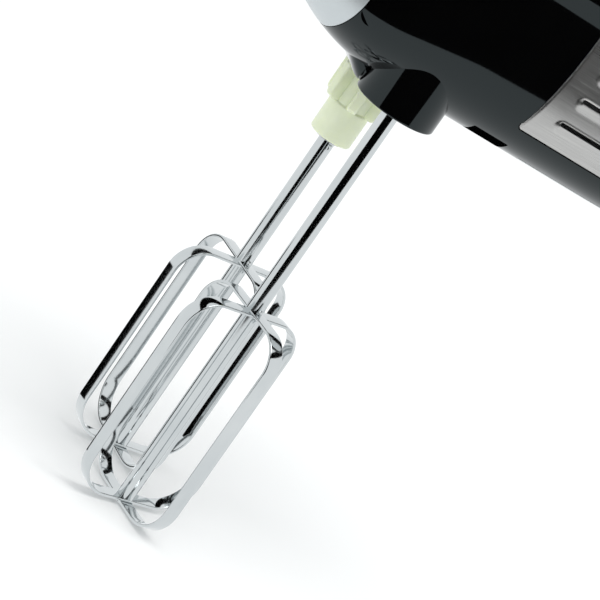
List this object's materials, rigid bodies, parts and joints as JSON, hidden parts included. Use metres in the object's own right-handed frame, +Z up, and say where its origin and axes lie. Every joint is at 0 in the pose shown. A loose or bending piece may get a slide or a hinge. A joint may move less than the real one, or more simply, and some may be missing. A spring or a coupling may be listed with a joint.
{
  "type": "hand mixer",
  "caption": "Electric hand mixer with a loop handle, louvred steel side panels and a pair of chromed wire-strip beaters.",
  "frame": {"origin": "on the surface under the beater tips, midway along the mixer's length", "axes": "+X forward to the nose, +Y to the user's left, +Z up along the beaters"},
  "size_m": [0.2026, 0.0858, 0.3053],
  "materials": {
    "black_gloss": "high gloss moulded ABS",
    "silver_satin": "satin silver lacquer on moulded plastic",
    "brushed_steel": "brushed lengthwise",
    "light_grey": "satin light grey",
    "rubber_black": "soft matt",
    "rubber_grey": "soft matt",
    "zinc_steel": "bright zinc",
    "grey_nylon": "moulded",
    "white_nylon": "moulded",
    "cream_nylon": "moulded, slightly translucent",
    "bronze": "sintered",
    "lamination": "stacked sheet",
    "copper": "enamelled wire",
    "carbon": "pressed carbon",
    "board_green": "lacquered board",
    "chrome": "bright plated"
  },
  "bodies": {
    "housing": {"housing_left": "black_gloss", "housing_right": "black_gloss", "nose_cover": "silver_satin", "side_panel_left": "brushed_steel", "side_panel_right": "brushed_steel", "bottom_cover": "light_grey", "heel_pad": "rubber_black", "grip_pad": "rubber_grey", "cord_bush": "rubber_black", "housing_screws": "zinc_steel", "gear_frame": "grey_nylon", "gear_cover": "grey_nylon", "spindle_bushes": "bronze", "stator_core": "lamination", "field_coils": "copper", "front_bearing": "bronze", "rear_bearing": "bronze", "motor_bracket": "grey_nylon", "brush_holders": "bronze", "carbon_brushes": "carbon", "brush_springs": "zinc_steel", "switch_board": "board_green", "ejector_guide": "grey_nylon"},
    "rotor": {"motor_shaft": "zinc_steel", "drive_worm": "zinc_steel", "armature_core": "lamination", "armature_windings": "copper", "commutator": "copper", "cooling_fan": "white_nylon"},
    "left_drive": {"worm_wheel_left": "white_nylon", "spindle_left": "zinc_steel"},
    "right_drive": {"worm_wheel_right": "white_nylon", "spindle_right": "zinc_steel"},
    "left_beater": {"beater_shaft_left": "chrome", "beater_outer_loop_left": "chrome", "beater_inner_loop_left": "chrome"},
    "right_beater": {"beater_shaft_right": "chrome", "beater_outer_loop_right": "chrome", "beater_inner_loop_right": "chrome", "beater_collar": "cream_nylon", "collar_washer": "zinc_steel"},
    "selector": {"speed_selector": "silver_satin"},
    "turbo": {"turbo_button": "silver_satin", "turbo_spring": "zinc_steel"},
    "ejector": {"eject_button": "silver_satin", "ejector_fork": "grey_nylon", "eject_spring": "zinc_steel"}
  },
  "joints": [
    {"name": "motor_spin", "type": "hinge", "parent": "housing", "child": "rotor", "pos_m": [-0.01475, 0, 0.2038], "axis": [1, 0, 0], "continuous": true},
    {"name": "left_drive_spin", "type": "hinge", "parent": "housing", "child": "left_drive", "pos_m": [0.03525, 0.0201, 0.2038], "axis": [0, 0, 1], "continuous": true},
    {"name": "right_drive_spin", "type": "hinge", "parent": "housing", "child": "right_drive", "pos_m": [0.03525, -0.0201, 0.2038], "axis": [0, 0, 1], "continuous": true},
    {"name": "eject_press", "type": "slide", "parent": "housing", "child": "ejector", "axis": [0, 0, -1], "range_m": [0, 0.008], "stiffness_N_per_m": 700, "springref_m": -0.004, "deforming": ["eject_spring"]},
    {"name": "left_beater_drop", "type": "slide", "parent": "left_drive", "child": "left_beater", "axis": [0, 0, -1], "range_m": [0, 0.008]},
    {"name": "right_beater_drop", "type": "slide", "parent": "right_drive", "child": "right_beater", "axis": [0, 0, -1], "range_m": [0, 0.008]},
    {"name": "speed_select", "type": "slide", "parent": "housing", "child": "selector", "axis": [-1, 0, 0], "range_m": [0, 0.02]},
    {"name": "turbo_press", "type": "slide", "parent": "housing", "child": "turbo", "axis": [0, 0, -1], "range_m": [0, 0.003], "stiffness_N_per_m": 600, "springref_m": -0.002, "deforming": ["turbo_spring"]}
  ],
  "couplings": [
    {"joint": "left_drive_spin", "follows": "motor_spin", "ratio": -0.066667},
    {"joint": "right_drive_spin", "follows": "motor_spin", "ratio": 0.066667},
    {"joint": "left_beater_drop", "follows": "eject_press", "ratio": 1},
    {"joint": "right_beater_drop", "follows": "eject_press", "ratio": 1}
  ]
}
